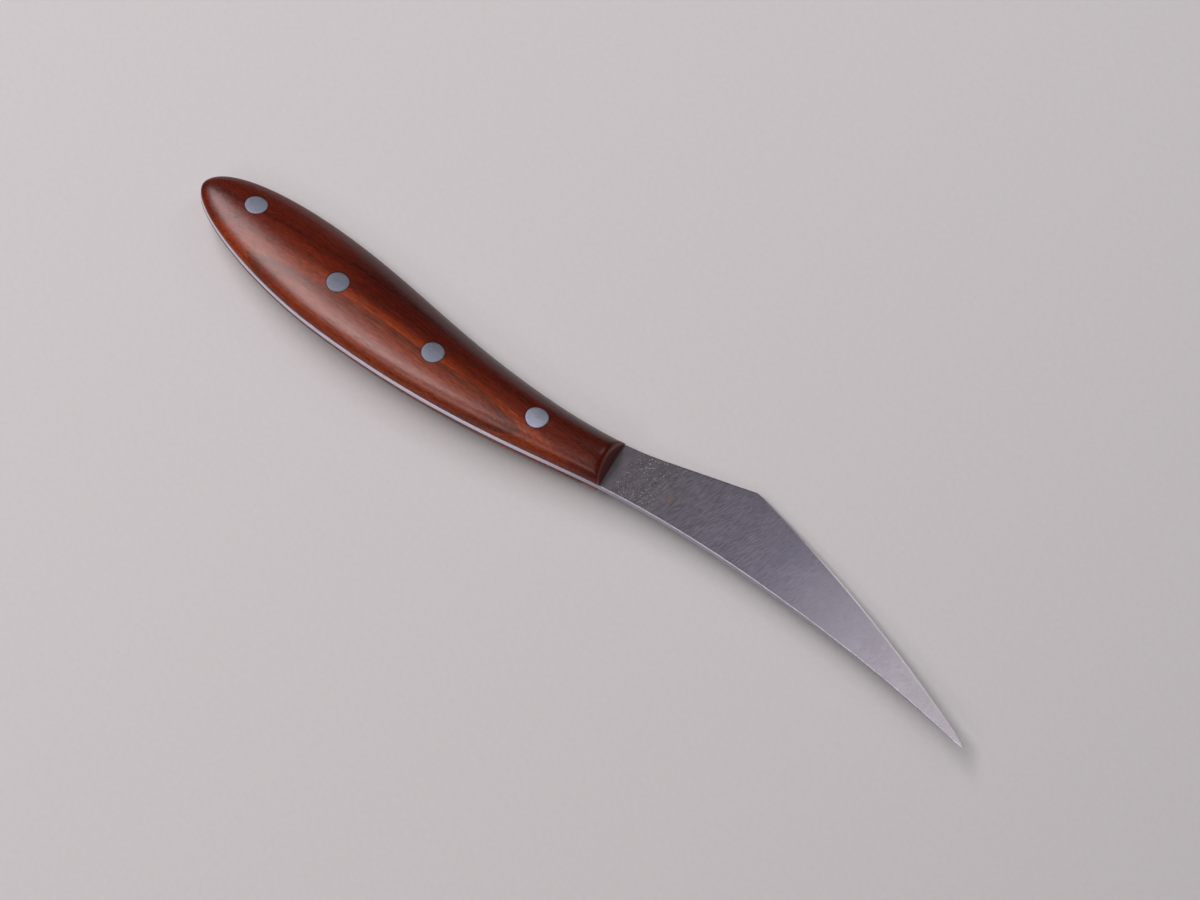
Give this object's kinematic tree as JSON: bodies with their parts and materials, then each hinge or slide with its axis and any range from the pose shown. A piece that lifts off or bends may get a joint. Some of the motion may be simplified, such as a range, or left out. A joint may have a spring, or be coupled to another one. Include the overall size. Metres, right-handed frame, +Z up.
{
  "type": "chip carving knife",
  "caption": "Fixed-blade chip carving knife: a thin swept steel blade on a full tang between two rounded wooden scales, held by flush steel pins.",
  "frame": {"origin": "middle of the bottom of the bounding box, on the surface that the knife lies on", "axes": "+X along the knife from the butt to the tip, +Z up from that surface, +Y level, on the cutting edge's side; the blade's flat is rolled 11.5 degrees about X, edge side down, as the knife lies by its own weight"},
  "size_m": [0.1986, 0.0308, 0.0117],
  "materials": {
    "blade_steel": "satin, cross-ground",
    "rosewood": "oiled satin",
    "pin_steel": "satin",
    "epoxy": "cured adhesive"
  },
  "bodies": {
    "root": {"blade_and_tang": "blade_steel", "bond_film_upper": "epoxy", "bond_film_lower": "epoxy", "handle_scale_upper": "rosewood", "handle_scale_lower": "rosewood", "handle_pin_1": "pin_steel", "handle_pin_2": "pin_steel", "handle_pin_3": "pin_steel", "handle_pin_4": "pin_steel"}
  },
  "joints": []
}
